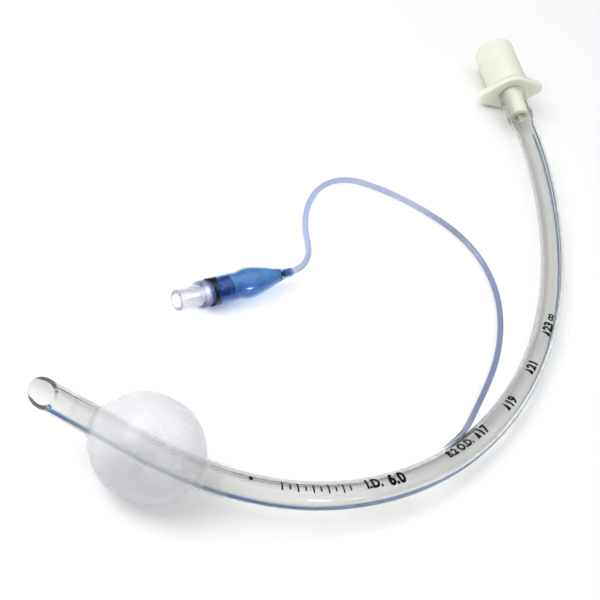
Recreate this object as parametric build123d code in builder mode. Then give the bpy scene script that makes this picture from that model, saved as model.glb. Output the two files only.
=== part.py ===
"""Cuffed tracheal tube lying on a table: shaft, cuff, 15 mm connector, pilot line, balloon and valve."""

import os
from math import cos, degrees, pi, radians, sin, tan

from build123d import *

# Shaft, a curved length of clear tubing, in millimetres
tube_outer_diameter = 8.2
tube_inner_diameter = 6.0
tip_straight = 33.5
tube_bends = [(98.0, 60.0), (126.0, 60.0), (164.0, 90.0), (190.0, 60.0), (110.0, 16.0)]
connector_straight = 20.0
bevel_angle = 46.0
bevel_turn = -45.0
end_swell = 0.9
swell_start = 18.0
swell_full = 10.0
stripe_width = 1.7
stripe_depth = 0.5
inflation_lumen_diameter = 0.5
lumen_start = 26.5
lumen_end = 143.5

# How the shaft lies: its tip, the way it points, and the lean of the plane that it bends in
tip_centre = (-92.338, -103.430, 18.379)
tip_heading = -13.5
lean_right = 0.1018
lean_back = -0.0367

# Cuff, a blown film bonded to the shaft by a collar at each end
cuff_diameter = 29.2
cuff_half_length = 15.5
cuff_middle = 35.0
cuff_wall = 0.4
collar_diameter = 9.3
collar_start = 12.5
collar_end = 58.5
cuff_shoulder = 0.45

# Connector with the 15 mm taper, measured along its axis from the flange's tube side
stem_length = 12.0
stem_chamfer = 1.5
stem_bore_diameter = 5.2
flange_thickness = 2.4
flange_width = 26.0
flange_depth = 17.4
ear_radius = 3.3
ear_turn = 27.0
barrel_length = 20.0
barrel_mouth_radius = 7.62
barrel_land_radius = 7.735
barrel_foot_radius = 7.86
barrel_land_start = 7.0
barrel_land_length = 4.0
barrel_bore_radius = 6.3
edge_chamfer = 0.4
funnel_top = 6.5
funnel_foot = 1.0

# Inflation valve and pilot balloon, measured inwards along their axis from the port's mouth
port_mouth = (-50.225, -47.121, 4.04)
valve_heading = 33.3
ring_start = 8.2
ring_end = 10.2
ring_radius = 4.3
belly_place = 26.5
belly_radius = 4.85
port_radius = 3.3
luer_mouth_radius = 2.15
luer_land = 1.5
luer_taper = 0.03
seat_place = 7.6
seat_thickness = 1.0
seat_radius = 1.3
chamber_radius = 2.6
spigot_end = 12.0
body_radius = 3.9
body_end = 19.0
end_wall = 1.5
guide_radius = 0.7
vent_radius = 0.45
vent_circle_radius = 1.6
pin_radius = 0.9
pin_place = 3.0
disc_radius = 2.1
seal_thickness = 1.0
head_thickness = 1.0
rear_stem_radius = 0.62
rear_stem_end = 18.0
spring_radius = 1.5
spring_wire = 0.4
spring_turns = 5
spring_gap = 0.02
bell_start = 11.6
bell_radius = 4.4
bell_end = 20.0
waist = (4.3, 21.6)
slope = [(3.95, 32.0), (2.25, 38.0)]
neck_start = 40.4
neck_radius = 1.45
neck_end = 43.4
neck_lip = 1.0
balloon_wall = 0.45
cavity_gap = 0.6

# Pilot line, from its notch in the shaft down to the table and round to the balloon
line_diameter = 2.0
line_route = [
    (35.575, -78.021, 6.3),
    (41.675, -72.021, 5.8),
    (46.275, -65.021, 4.0),
    (50.675, -56.221, 2.0),
    (55.675, -45.821, 1.0),
    (60.275, -34.621, 1.0),
    (63.475, -22.921, 1.0),
    (65.075, -10.421, 1.0),
    (64.275, 2.079, 1.0),
    (59.875, 14.179, 1.0),
    (51.275, 23.779, 1.0),
    (37.675, 30.179, 1.0),
    (23.075, 33.779, 1.0),
    (9.675, 33.979, 1.0),
    (-0.325, 27.179, 1.0),
    (-6.125, 15.579, 1.0),
    (-7.325, 3.179, 1.0),
    (-6.125, -7.421, 2.2),
    (-7.725, -14.421, 4.2),
]
line_lead = 3.3
line_insertion = 2.9
corner_share = 0.45

os.makedirs("parts", exist_ok=True)

tube_radius = tube_outer_diameter / 2
bore_radius = tube_inner_diameter / 2


def along(start, direction, distance):
    """Point at a distance from a start point along a unit direction."""
    return Vector(*start) + Vector(*direction) * distance


# Centreline of the shaft: straight at the tip, five bends, straight at the end, in a leaning plane
tip_direction = Vector(
    cos(radians(tip_heading)),
    sin(radians(tip_heading)),
    -lean_right * cos(radians(tip_heading)) - lean_back * sin(radians(tip_heading)),
).normalized()
tube_plane = Plane(origin=tip_centre, x_dir=tip_direction, z_dir=(lean_right, lean_back, 1))
with BuildLine(tube_plane) as tube_path:
    stretch = Line((0, 0), (tip_straight, 0))
    for bend_radius, bend_length in tube_bends:
        stretch = JernArc(stretch @ 1, stretch % 1, bend_radius, degrees(bend_length / bend_radius))
    Line(stretch @ 1, stretch @ 1 + (stretch % 1) * connector_straight)
tube_line = tube_path.wire()
tube_length = tube_line.length


def tube_section(distance):
    """Plane across the shaft: its x axis points up out of the bend's plane, its y axis to the convex side."""
    place = distance / tube_length
    return Plane(origin=tube_line @ place, x_dir=tube_plane.z_dir, z_dir=tube_line % place)


def tube_run(start, end):
    """Centreline of the shaft between two distances from its tip."""
    return tube_line.trim(start / tube_length, end / tube_length)


# Straight end of the shaft, which swells over the connector's stem; the blue line stops short of it
stem_radius = bore_radius + end_swell
stripe_end = tube_length - connector_straight
connector_foot = tube_section(tube_length)
connector_axis = Axis(connector_foot.origin, connector_foot.z_dir)
connector_side = Plane(origin=connector_foot.origin, x_dir=connector_foot.y_dir, z_dir=connector_foot.x_dir)

# Section of the blue line that runs in the wall along the convex side
with BuildSketch(tube_section(0)) as stripe_profile:
    Circle(tube_radius)
    Circle(tube_radius - stripe_depth, mode=Mode.SUBTRACT)
    with Locations((0, tube_radius)):
        Rectangle(stripe_width, 2 * stripe_depth, mode=Mode.INTERSECT)

# Slanted end cut, which faces upwards and to the convex side
tip_section = tube_section(0)
bevel_up = tip_section.x_dir * cos(radians(bevel_turn)) - tip_section.y_dir * sin(radians(bevel_turn))
bevel_normal = bevel_up * cos(radians(bevel_angle)) - tip_section.z_dir * sin(radians(bevel_angle))
bevel_plane = Plane(
    origin=tip_section.origin + tip_section.z_dir * (tube_radius / tan(radians(bevel_angle))),
    z_dir=bevel_normal,
)

# Pilot line: a soft tube along its route, and the axis that the balloon and the valve share
valve_dip = (belly_radius - ring_radius) / (belly_place - (ring_start + ring_end) / 2)
valve_axis = Vector(cos(radians(valve_heading)), sin(radians(valve_heading)), valve_dip).normalized()
line_points = [Vector(*point) for point in line_route]
line_points.append(along(port_mouth, valve_axis, neck_end + line_lead))
line_points.append(along(port_mouth, valve_axis, neck_end - line_insertion))
line_runs = [b - a for a, b in zip(line_points, line_points[1:])]
line_radii = []
for run, next_run in zip(line_runs, line_runs[1:]):
    half_turn = radians(run.get_angle(next_run) / 2)
    line_radii.append(corner_share * min(run.length, next_run.length) / tan(half_turn))
print("pilot line radii", [round(radius, 1) for radius in line_radii])
with BuildPart() as pilot_line:
    with BuildLine() as line_path:
        FilletPolyline(line_points, radius=line_radii)
    with BuildSketch(Plane(origin=line_path.wire() @ 0, z_dir=line_path.wire() % 0)):
        Circle(line_diameter / 2)
    sweep(path=line_path.wire())
line_length = line_path.wire().length
plain_volume = pi * (line_diameter / 2) ** 2 * line_length
print("pilot line length", round(line_length, 1))
print("volume against section times length", round(pilot_line.part.volume / plain_volume, 4))

# Shaft with its bore, the groove for the blue line, the thin inflation lumen and the pilot line's notch
with BuildPart() as tube:
    with BuildSketch(tube_section(0)):
        Circle(tube_radius)
        Circle(bore_radius, mode=Mode.SUBTRACT)
        add(stripe_profile.sketch_local, mode=Mode.SUBTRACT)
    sweep(path=tube_run(0, stripe_end))
    with BuildSketch(connector_side):
        with BuildLine():
            Polyline(
                (bore_radius, -connector_straight),
                (tube_radius, -connector_straight),
                (tube_radius, -swell_start),
                (tube_radius + end_swell, -swell_full),
                (tube_radius + end_swell, 0),
                (stem_radius, 0),
                (stem_radius, -stem_length),
                (bore_radius, -swell_start),
                close=True,
            )
        make_face()
    revolve(axis=connector_axis)
    with BuildSketch(tube_section(lumen_start)):
        with Locations((0, -(tube_radius + bore_radius) / 2)):
            Circle(inflation_lumen_diameter / 2)
    sweep(path=tube_run(lumen_start, lumen_end), mode=Mode.SUBTRACT)
    split(bisect_by=bevel_plane, keep=Keep.BOTTOM)
    add(pilot_line.part, mode=Mode.SUBTRACT)

# Blue line in the wall that shows on an X-ray
with BuildPart() as radiopaque_stripe:
    add(stripe_profile.sketch)
    sweep(path=tube_run(0, stripe_end))
    split(bisect_by=bevel_plane, keep=Keep.BOTTOM)

# Cuff: a hollow blown bulb about the shaft, with a collar each way
cuff_start = tube_line @ ((cuff_middle - cuff_half_length) / tube_length)
cuff_finish = tube_line @ ((cuff_middle + cuff_half_length) / tube_length)
cuff_axis = (cuff_finish - cuff_start).normalized()
cuff_centre = (cuff_start + cuff_finish) * 0.5
cuff_plane = Plane(origin=cuff_centre, x_dir=cuff_axis, z_dir=tube_plane.z_dir)
cuff_rise = [(-0.87, 0.52), (-0.66, 0.79), (-0.36, 0.95)]
cuff_crest = cuff_rise + [(0.0, 1.0)] + [(-u, v) for u, v in cuff_rise[::-1]]
with BuildPart() as cuff:
    with BuildSketch(tube_section(collar_start)):
        Circle(collar_diameter / 2)
    sweep(path=tube_run(collar_start, collar_end))
    for inset, mode in ((0.0, Mode.ADD), (cuff_wall, Mode.SUBTRACT)):
        reach = cuff_half_length - inset
        crown = cuff_diameter / 2 - inset
        foot = collar_diameter / 2 - inset
        with BuildSketch(cuff_plane):
            with BuildLine():
                skin = [(-reach, foot)] + [(reach * u, crown * v) for u, v in cuff_crest] + [(reach, foot)]
                Spline(skin, tangents=[(cuff_shoulder, 1), (cuff_shoulder, -1)])
                Polyline((reach, foot), (reach, 0), (-reach, 0), (-reach, foot))
            make_face()
        revolve(axis=Axis(cuff_centre, cuff_axis), mode=mode)
    with BuildSketch(tube_section(collar_start - 1)):
        Circle(tube_radius)
    sweep(path=tube_run(collar_start - 1, collar_end + 1), mode=Mode.SUBTRACT)

# Connector: a stem inside the shaft, a flange with two ears, and the tapered barrel with its funnel
barrel_top = flange_thickness + barrel_length
ear_place = Vector(0, flange_width / 2 - ear_radius).rotate(Axis.Z, -ear_turn)
with BuildPart() as connector:
    with BuildSketch(connector_foot):
        with BuildLine():
            CenterArc((0, 0), flange_depth / 2, 0, 360)
            CenterArc(ear_place, ear_radius, 0, 360)
            CenterArc(-ear_place, ear_radius, 0, 360)
        make_hull()
    extrude(amount=flange_thickness)
    with BuildSketch(connector_side):
        with BuildLine():
            Polyline(
                (0, -stem_length),
                (stem_radius - edge_chamfer, -stem_length),
                (stem_radius, -stem_length + stem_chamfer),
                (stem_radius, 0),
                (barrel_foot_radius, 0),
                (barrel_foot_radius, flange_thickness),
                (barrel_land_radius, flange_thickness + barrel_land_start - barrel_land_length / 2),
                (barrel_land_radius, flange_thickness + barrel_land_start + barrel_land_length / 2),
                (barrel_mouth_radius, barrel_top - edge_chamfer),
                (barrel_mouth_radius - edge_chamfer, barrel_top),
                (0, barrel_top),
                close=True,
            )
        make_face()
    revolve(axis=connector_axis)
    with BuildSketch(connector_side):
        with BuildLine():
            Polyline(
                (0, -stem_length),
                (stem_bore_diameter / 2, -stem_length),
                (stem_bore_diameter / 2, funnel_foot),
                (barrel_bore_radius, funnel_top),
                (barrel_bore_radius, barrel_top),
                (0, barrel_top),
                close=True,
            )
        make_face()
    revolve(axis=connector_axis, mode=Mode.SUBTRACT)

# Valve and balloon turn about one axis: x is the radius and y the distance in from the port's mouth
valve_side = Vector(0, 0, 1).cross(valve_axis).normalized()
valve_section = Plane(origin=port_mouth, x_dir=valve_side, z_dir=valve_side.cross(valve_axis))
turning_axis = Axis(port_mouth, valve_axis)


def valve_place(distance):
    """Plane across the valve at a distance in from the port's mouth."""
    return Plane(origin=along(port_mouth, valve_axis, distance), x_dir=valve_side, z_dir=valve_axis)


seat_face = seat_place + seat_thickness
with BuildPart() as valve_port:
    with BuildSketch(valve_section):
        with BuildLine():
            Polyline(
                (luer_mouth_radius, 0),
                (port_radius, 0),
                (port_radius, ring_start - edge_chamfer),
                (ring_radius, ring_start),
                (ring_radius, ring_end),
                (port_radius, ring_end),
                (port_radius, spigot_end),
                (chamber_radius, spigot_end),
                (chamber_radius, seat_face),
                (seat_radius, seat_face),
                (seat_radius, seat_place),
                (luer_mouth_radius - luer_taper * (seat_place - luer_land), seat_place),
                (luer_mouth_radius, luer_land),
                close=True,
            )
        make_face()
    revolve(axis=turning_axis)

with BuildPart() as valve_body:
    with BuildSketch(valve_section):
        with BuildLine():
            Polyline(
                (port_radius, ring_end),
                (body_radius, ring_end),
                (body_radius, body_end),
                (guide_radius, body_end),
                (guide_radius, body_end - end_wall),
                (chamber_radius, body_end - end_wall),
                (chamber_radius, spigot_end),
                (port_radius, spigot_end),
                close=True,
            )
        make_face()
    revolve(axis=turning_axis)
    with BuildSketch(valve_place(body_end)):
        with PolarLocations(vent_circle_radius, 3):
            Circle(vent_radius)
    extrude(amount=-end_wall, mode=Mode.SUBTRACT)

seal_end = seat_face + seal_thickness
head_end = seal_end + head_thickness
with BuildPart() as valve_seal:
    with BuildSketch(valve_place(seat_face)):
        Circle(disc_radius)
        Circle(pin_radius, mode=Mode.SUBTRACT)
    extrude(amount=seal_thickness)

with BuildPart() as valve_plunger:
    with BuildSketch(valve_place(pin_place)):
        Circle(pin_radius)
    extrude(amount=seal_end - pin_place)
    with BuildSketch(valve_place(seal_end)):
        Circle(disc_radius)
    extrude(amount=head_thickness)
    with BuildSketch(valve_place(head_end)):
        Circle(rear_stem_radius)
    extrude(amount=rear_stem_end - head_end)

# Return spring between the plunger's head and the body's end wall
spring_start = head_end + spring_wire / 2 + spring_gap
spring_height = body_end - end_wall - head_end - spring_wire - 2 * spring_gap
with BuildPart() as valve_spring:
    with BuildLine() as coil:
        Helix(
            pitch=spring_height / spring_turns,
            height=spring_height,
            radius=spring_radius,
            center=along(port_mouth, valve_axis, spring_start),
            direction=valve_axis,
        )
    with BuildSketch(Plane(origin=coil.line @ 0, z_dir=coil.line % 0)):
        Circle(spring_wire / 2)
    sweep(path=coil.line, is_frenet=True)

# Pilot balloon: a bell over the valve, a belly that swells, and a long neck round the line
cavity_start = body_end + cavity_gap
line_radius = line_diameter / 2
outer_skin = [waist, (belly_radius, belly_place)] + slope
inner_skin = [(radius - balloon_wall, place) for radius, place in outer_skin]
with BuildPart() as pilot_balloon:
    with BuildSketch(valve_section):
        with BuildLine():
            Polyline((body_radius, bell_start), (bell_radius, bell_start), (bell_radius, bell_end))
            Spline(
                [(bell_radius, bell_end)] + outer_skin + [(neck_radius, neck_end - neck_lip)],
                tangents=[(0, 1), (0, 1)],
            )
            Polyline(
                (neck_radius, neck_end - neck_lip),
                (neck_radius, neck_end),
                (line_radius, neck_end),
                (line_radius, neck_start),
            )
            Spline(
                [(line_radius, neck_start)] + inner_skin[::-1] + [(body_radius, cavity_start)],
                tangents=[(0, -1), (0, -1)],
            )
            Line((body_radius, cavity_start), (body_radius, bell_start))
        make_face()
    revolve(axis=turning_axis)

pieces = {
    "tube": tube,
    "radiopaque_stripe": radiopaque_stripe,
    "cuff": cuff,
    "connector": connector,
    "pilot_line": pilot_line,
    "pilot_balloon": pilot_balloon,
    "valve_port": valve_port,
    "valve_body": valve_body,
    "valve_seal": valve_seal,
    "valve_plunger": valve_plunger,
    "valve_spring": valve_spring,
}
for name, piece in pieces.items():
    piece.part.label = name
    export_step(piece.part, f"parts/{name}.step")
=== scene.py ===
import logging
from dataclasses import dataclass, field
from enum import Enum
from math import cos, pi, radians, sin, tan

import bmesh
import bpy
import numpy as np
from mathutils import Matrix


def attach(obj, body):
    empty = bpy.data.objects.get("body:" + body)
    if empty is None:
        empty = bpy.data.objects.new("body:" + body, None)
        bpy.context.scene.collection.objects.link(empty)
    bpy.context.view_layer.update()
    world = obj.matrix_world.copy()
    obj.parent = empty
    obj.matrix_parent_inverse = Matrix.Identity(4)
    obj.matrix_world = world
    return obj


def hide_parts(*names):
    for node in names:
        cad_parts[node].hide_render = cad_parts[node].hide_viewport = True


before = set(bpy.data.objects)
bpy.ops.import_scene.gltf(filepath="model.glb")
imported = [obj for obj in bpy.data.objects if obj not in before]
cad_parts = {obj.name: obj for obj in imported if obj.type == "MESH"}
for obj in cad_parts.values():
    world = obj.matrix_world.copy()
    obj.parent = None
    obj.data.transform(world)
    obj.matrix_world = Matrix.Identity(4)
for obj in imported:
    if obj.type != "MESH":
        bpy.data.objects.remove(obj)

log = logging.getLogger("tracheal_tube")
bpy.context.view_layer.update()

MM = 0.001
SET_BODY = "tube_set"


Colour = tuple[float, float, float]
Point = tuple[float, float, float]
Pair = tuple[float, float]


class Side(Enum):
    """Side of the shaft's section, as an angle from its upper side."""

    UPPER = 0.0
    OUTER = pi / 2
    INNER = -pi / 2


class Mark(Enum):
    """Kind of mark in the print, as it stands in the piece's name."""

    FIGURE = "figure"
    WEDGE = "wedge"
    TICK = "tick"
    DOT = "dot"
    RING = "ring"


# Mesh tools shared by every piece


def unit(vector: np.ndarray) -> np.ndarray:
    """Scale vectors along the last axis to a length of one.

    Args:
        vector: Array of vectors.

    Returns:
        The same vectors, each divided by its length.
    """
    return vector / np.linalg.norm(vector, axis=-1, keepdims=True)


def surface(
    name: str,
    points: np.ndarray,
    loop_rows: bool = False,
    loop_columns: bool = True,
    caps: bool = False,
) -> bpy.types.Object:
    """Make a mesh from a grid of points, one quad between each four neighbours.

    The quad at row i and column j joins (i, j), (i+1, j), (i+1, j+1) and (i, j+1), with the index
    taken round the end where the grid loops. Its UV map holds the row and column as shares of one.

    Args:
        name: Name of the new object.
        points: Array of rows, columns and three coordinates, in metres.
        loop_rows: True if the last row joins the first.
        loop_columns: True if the last column joins the first.
        caps: True to close the first and last rows, each with one face.

    Returns:
        The object, linked to the scene, smooth shaded.
    """
    rows, columns = points.shape[:2]
    row_count = rows if loop_rows else rows - 1
    column_count = columns if loop_columns else columns - 1
    row, column = np.meshgrid(np.arange(row_count), np.arange(column_count), indexing="ij")
    next_row = (row + 1) % rows
    next_column = (column + 1) % columns
    corners = [row * columns + column, next_row * columns + column]
    corners += [next_row * columns + next_column, row * columns + next_column]
    quads = np.stack(corners, axis=-1).reshape(-1, 4)
    shares = np.stack([row, row + 1, row + 1, row], axis=-1).reshape(-1) / row_count
    turns = np.stack([column, column, column + 1, column + 1], axis=-1).reshape(-1) / column_count
    faces = quads.tolist()
    if caps:
        first = list(range(columns))
        last = list(range((rows - 1) * columns, rows * columns))
        faces += [first, last[::-1]]
    mesh = bpy.data.meshes.new(name)
    mesh.from_pydata(points.reshape(-1, 3).tolist(), [], faces)
    layer = mesh.uv_layers.new(name="surface")
    uv = np.zeros((len(mesh.loops), 2), dtype=np.float32)
    uv[: len(shares), 0] = shares
    uv[: len(turns), 1] = turns
    layer.data.foreach_set("uv", uv.reshape(-1))
    mesh.polygons.foreach_set("use_smooth", np.ones(len(mesh.polygons), dtype=bool))
    mesh.update()
    piece = bpy.data.objects.new(name, mesh)
    bpy.context.scene.collection.objects.link(piece)
    return piece


def outwards(piece: bpy.types.Object) -> None:
    """Turn a closed piece's faces so that they all point out of it."""
    shell = bmesh.new()
    shell.from_mesh(piece.data)
    bmesh.ops.recalc_face_normals(shell, faces=shell.faces)
    shell.to_mesh(piece.data)
    shell.free()


def rounded(corners: list[tuple[float, float, float]], steps: int = 5) -> np.ndarray:
    """Round the corners of a closed outline.

    Each corner with a radius becomes a quadratic blend from a point on the side before it to a
    point on the side after it: (1-t)^2 of the first, 2t(1-t) of the corner and t^2 of the last.
    A point a little before and one a little after keep the sides flat under smooth shading.

    Args:
        corners: Two coordinates and a radius for each corner, in order.
        steps: Number of spans in each blend.

    Returns:
        Array of the outline's points.
    """
    table = np.array(corners, dtype=float)
    place, radius = table[:, :2], table[:, 2:]
    before = np.roll(place, 1, axis=0) - place
    after = np.roll(place, -1, axis=0) - place
    reach_before = np.minimum(radius, 0.42 * np.linalg.norm(before, axis=1, keepdims=True))
    reach_after = np.minimum(radius, 0.42 * np.linalg.norm(after, axis=1, keepdims=True))
    start = place + unit(before) * reach_before
    end = place + unit(after) * reach_after
    t = np.linspace(0, 1, steps + 1)[None, :, None]
    blend = (1 - t) ** 2 * start[:, None] + 2 * t * (1 - t) * place[:, None] + t**2 * end[:, None]
    lead = (place + unit(before) * reach_before * 1.12)[:, None]
    tail = (place + unit(after) * reach_after * 1.12)[:, None]
    return np.concatenate([lead, blend, tail], axis=1).reshape(-1, 2)


@dataclass(frozen=True)
class TurningAxis:
    """An axis that round pieces turn about, with two directions across it."""

    foot: np.ndarray
    along: np.ndarray
    side: np.ndarray

    @property
    def lift(self) -> np.ndarray:
        """Direction across the axis that makes a right-handed set with it and its side."""
        return np.cross(self.along, self.side)

    def turned(self, outline: np.ndarray, columns: int = 72) -> np.ndarray:
        """Carry an outline round the axis.

        A point at radius r and height h becomes foot + h along + r (cos a side + sin a lift), for
        each angle a of a whole turn.

        Args:
            outline: Array of radius and height pairs, in metres.
            columns: Number of steps round the axis.

        Returns:
            Grid of points, outline by columns.
        """
        angle = np.linspace(0, 2 * pi, columns, endpoint=False)
        ray = np.cos(angle)[:, None] * self.side + np.sin(angle)[:, None] * self.lift
        middle = self.foot + outline[:, 1:] * self.along
        return middle[:, None, :] + outline[:, :1, None] * ray[None, :, :]


# Finishes: each one is a small frozen class that builds its own node material


class Nodes:
    """A node material under construction."""

    def __init__(self, name: str) -> None:
        """Start an empty node material.

        Args:
            name: Name of the material.
        """
        self.material = bpy.data.materials.new(name)
        self.material.use_nodes = True
        self.tree = self.material.node_tree
        self.tree.nodes.clear()
        self.output = self.tree.nodes.new("ShaderNodeOutputMaterial")
        self.place = self.tree.nodes.new("ShaderNodeTexCoord").outputs["Object"]

    def add(self, kind: str, **settings: object) -> bpy.types.Node:
        """Add a node and set its own properties.

        Args:
            kind: Blender's name of the node type.
            settings: Properties of the node.

        Returns:
            The node.
        """
        node = self.tree.nodes.new(kind)
        for key, value in settings.items():
            setattr(node, key, value)
        return node

    def join(self, source: bpy.types.NodeSocket, target: bpy.types.NodeSocket) -> None:
        """Link an output to an input."""
        self.tree.links.new(source, target)

    def noise(self, scale: float, detail: float) -> bpy.types.NodeSocket:
        """Add a noise pattern on the object's own coordinates.

        Args:
            scale: Number of grains to the metre.
            detail: Number of finer layers.

        Returns:
            The factor output of the noise.
        """
        grain = self.add("ShaderNodeTexNoise")
        grain.inputs["Scale"].default_value = scale
        grain.inputs["Detail"].default_value = detail
        self.join(self.place, grain.inputs["Vector"])
        return grain.outputs["Fac"]

    def across(self, start: float, end: float) -> bpy.types.NodeSocket:
        """Add a ramp from 0 to 1 along the object's own X.

        Args:
            start: Place of its 0, in metres.
            end: Place of its 1, in metres.

        Returns:
            The ramp's output.
        """
        parts = self.add("ShaderNodeSeparateXYZ")
        self.join(self.place, parts.inputs[0])
        node = self.add("ShaderNodeMapRange")
        node.inputs["From Min"].default_value = start
        node.inputs["From Max"].default_value = end
        self.join(parts.outputs["X"], node.inputs["Value"])
        return node.outputs["Result"]

    def spread(self, source: bpy.types.NodeSocket, low: float, high: float) -> bpy.types.NodeSocket:
        """Spread the middle of a 0 to 1 pattern over a range of values.

        Args:
            source: The pattern.
            low: Value at the pattern's 0.3.
            high: Value at the pattern's 0.7.

        Returns:
            The spread value.
        """
        node = self.add("ShaderNodeMapRange")
        node.inputs["From Min"].default_value = 0.3
        node.inputs["From Max"].default_value = 0.7
        node.inputs["To Min"].default_value = low
        node.inputs["To Max"].default_value = high
        self.join(source, node.inputs["Value"])
        return node.outputs["Result"]

    def tint(self, source: bpy.types.NodeSocket, dark: Colour, light: Colour) -> bpy.types.NodeSocket:
        """Mix two colours by a pattern.

        Args:
            source: The pattern.
            dark: Colour at the pattern's low end.
            light: Colour at the pattern's high end.

        Returns:
            The mixed colour.
        """
        ramp = self.add("ShaderNodeValToRGB")
        ramp.color_ramp.elements[0].position = 0.3
        ramp.color_ramp.elements[0].color = (*dark, 1)
        ramp.color_ramp.elements[1].position = 0.7
        ramp.color_ramp.elements[1].color = (*light, 1)
        self.join(source, ramp.inputs["Fac"])
        return ramp.outputs["Color"]

    def paint_light_and_shade(self, tint: Colour, painted_light_bands: tuple[Pair, ...]) -> bpy.types.NodeSocket:
        """Paint light and shade into a tint, in soft stripes round a piece by the second coordinate of its
        own UV map: lighter stripes are painted light, darker ones painted shade.

        Args:
            tint: The full tint.
            painted_light_bands: Place round the piece and share of the tint, for each stripe of painted light
                and shade.

        Returns:
            The colour with its painted light and shade.
        """
        around = self.add("ShaderNodeUVMap", uv_map="surface")
        parts = self.add("ShaderNodeSeparateXYZ")
        ramp = self.add("ShaderNodeValToRGB")
        ramp.color_ramp.interpolation = "EASE"
        stops = ramp.color_ramp.elements
        while len(stops) < len(painted_light_bands):
            stops.new(0.5)
        for stop, (place, share) in zip(stops, painted_light_bands):
            stop.position = place
            stop.color = (*(value * share for value in tint), 1)
        self.join(around.outputs["UV"], parts.inputs[0])
        self.join(parts.outputs["Y"], ramp.inputs["Fac"])
        return ramp.outputs["Color"]

    def bump(self, source: bpy.types.NodeSocket, depth: float, strength: float = 0.5) -> bpy.types.NodeSocket:
        """Turn a pattern into a fine relief.

        Args:
            source: The pattern.
            depth: Height of the relief, in metres.
            strength: Share of the relief that shows.

        Returns:
            The normal output.
        """
        node = self.add("ShaderNodeBump")
        node.inputs["Distance"].default_value = depth
        node.inputs["Strength"].default_value = strength
        self.join(source, node.inputs["Height"])
        return node.outputs["Normal"]

    def principled(self, **sockets: object) -> bpy.types.Node:
        """Add the main shader, with plain values on its sockets.

        Args:
            sockets: Values, named as the sockets with underscores for spaces.

        Returns:
            The shader node.
        """
        shader = self.add("ShaderNodeBsdfPrincipled")
        for key, value in sockets.items():
            shader.inputs[key.replace("_", " ")].default_value = value
        return shader

    def lit_through(self, shader: bpy.types.Node, shade: Colour, straight: float) -> None:
        """Let lamps shine through a clear shader, with a little shade, and finish the material.

        Args:
            shader: The clear shader.
            shade: Colour that the light keeps on its way through one wall.
            straight: Share of the light that passes unbent, which calms the refraction.
        """
        if straight > 0:
            unbent = self.add("ShaderNodeBsdfTransparent")
            unbent.inputs["Color"].default_value = (*shade, 1)
            calm = self.add("ShaderNodeMixShader")
            calm.inputs[0].default_value = straight
            self.join(shader.outputs[0], calm.inputs[1])
            self.join(unbent.outputs[0], calm.inputs[2])
            shader = calm
        path = self.add("ShaderNodeLightPath")
        passing = self.add("ShaderNodeBsdfTransparent")
        passing.inputs["Color"].default_value = (*shade, 1)
        mix = self.add("ShaderNodeMixShader")
        self.join(path.outputs["Is Shadow Ray"], mix.inputs[0])
        self.join(shader.outputs[0], mix.inputs[1])
        self.join(passing.outputs[0], mix.inputs[2])
        self.join(mix.outputs[0], self.output.inputs["Surface"])

    def finish(self, shader: bpy.types.Node) -> None:
        """Send a shader straight to the output."""
        self.join(shader.outputs[0], self.output.inputs["Surface"])


@dataclass(frozen=True)
class ClearPlastic:
    """Clear plastic that bends the light, with faint flow marks in its surface, and where set, painted light
    and shade in its tint.
    """

    name: str
    tint: Colour
    shade: Colour
    roughness: Pair = (0.03, 0.09)
    refraction: float = 1.5
    grain: float = 220.0
    relief: float = 0.00003
    depth: float = 0.97
    straight: float = 0.0
    # ramp along the object's X that paints shade into the tint
    fade: Pair | None = None
    # stripes of painted light and shade round the section, as place and share of the tint
    painted_light_bands: tuple[Pair, ...] = ()

    def material(self) -> bpy.types.Material:
        """Build the material.

        Returns:
            The node material.
        """
        nodes = Nodes(self.name)
        clear = nodes.principled(IOR=self.refraction, Transmission_Weight=1.0, Specular_IOR_Level=0.5)
        flow = nodes.noise(self.grain, 2.0)
        low, high = (tuple(value * share for value in self.tint) for share in (self.depth, 1.0))
        # the ramp along X paints shade: the tint darkens towards +X; without a ramp the tint varies at random
        # with the flow marks
        flow_grain_and_painted_shade = nodes.across(*self.fade) if self.fade else flow
        # the shaft's tint takes painted light and shade in stripes round its section
        colour = nodes.paint_light_and_shade(self.tint, self.painted_light_bands) if self.painted_light_bands else nodes.tint(flow_grain_and_painted_shade, low, high)
        nodes.join(colour, clear.inputs["Base Color"])
        nodes.join(nodes.spread(flow, *self.roughness), clear.inputs["Roughness"])
        nodes.join(nodes.bump(flow, self.relief, 0.35), clear.inputs["Normal"])
        nodes.lit_through(clear, self.shade, self.straight)
        return nodes.material


@dataclass(frozen=True)
class MilkyFilm:
    """Thin frosted film that lets some light straight through and glows where it is lit from behind."""

    name: str
    colour: Colour
    cover: Pair
    roughness: Pair = (0.18, 0.32)

    def material(self) -> bpy.types.Material:
        """Build the material.

        Returns:
            The node material.
        """
        nodes = Nodes(self.name)
        film = nodes.principled(IOR=1.5, Specular_IOR_Level=0.6, Coat_Weight=0.25, Coat_Roughness=0.06)
        cloud = nodes.noise(70.0, 4.0)
        dark = tuple(value * 0.97 for value in self.colour)
        nodes.join(nodes.tint(cloud, dark, self.colour), film.inputs["Base Color"])
        nodes.join(nodes.spread(cloud, *self.roughness), film.inputs["Roughness"])
        nodes.join(nodes.spread(cloud, *self.cover), film.inputs["Alpha"])
        nodes.join(nodes.bump(nodes.noise(260.0, 2.0), 0.00006, 0.3), film.inputs["Normal"])
        nodes.finish(film)
        return nodes.material


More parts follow.
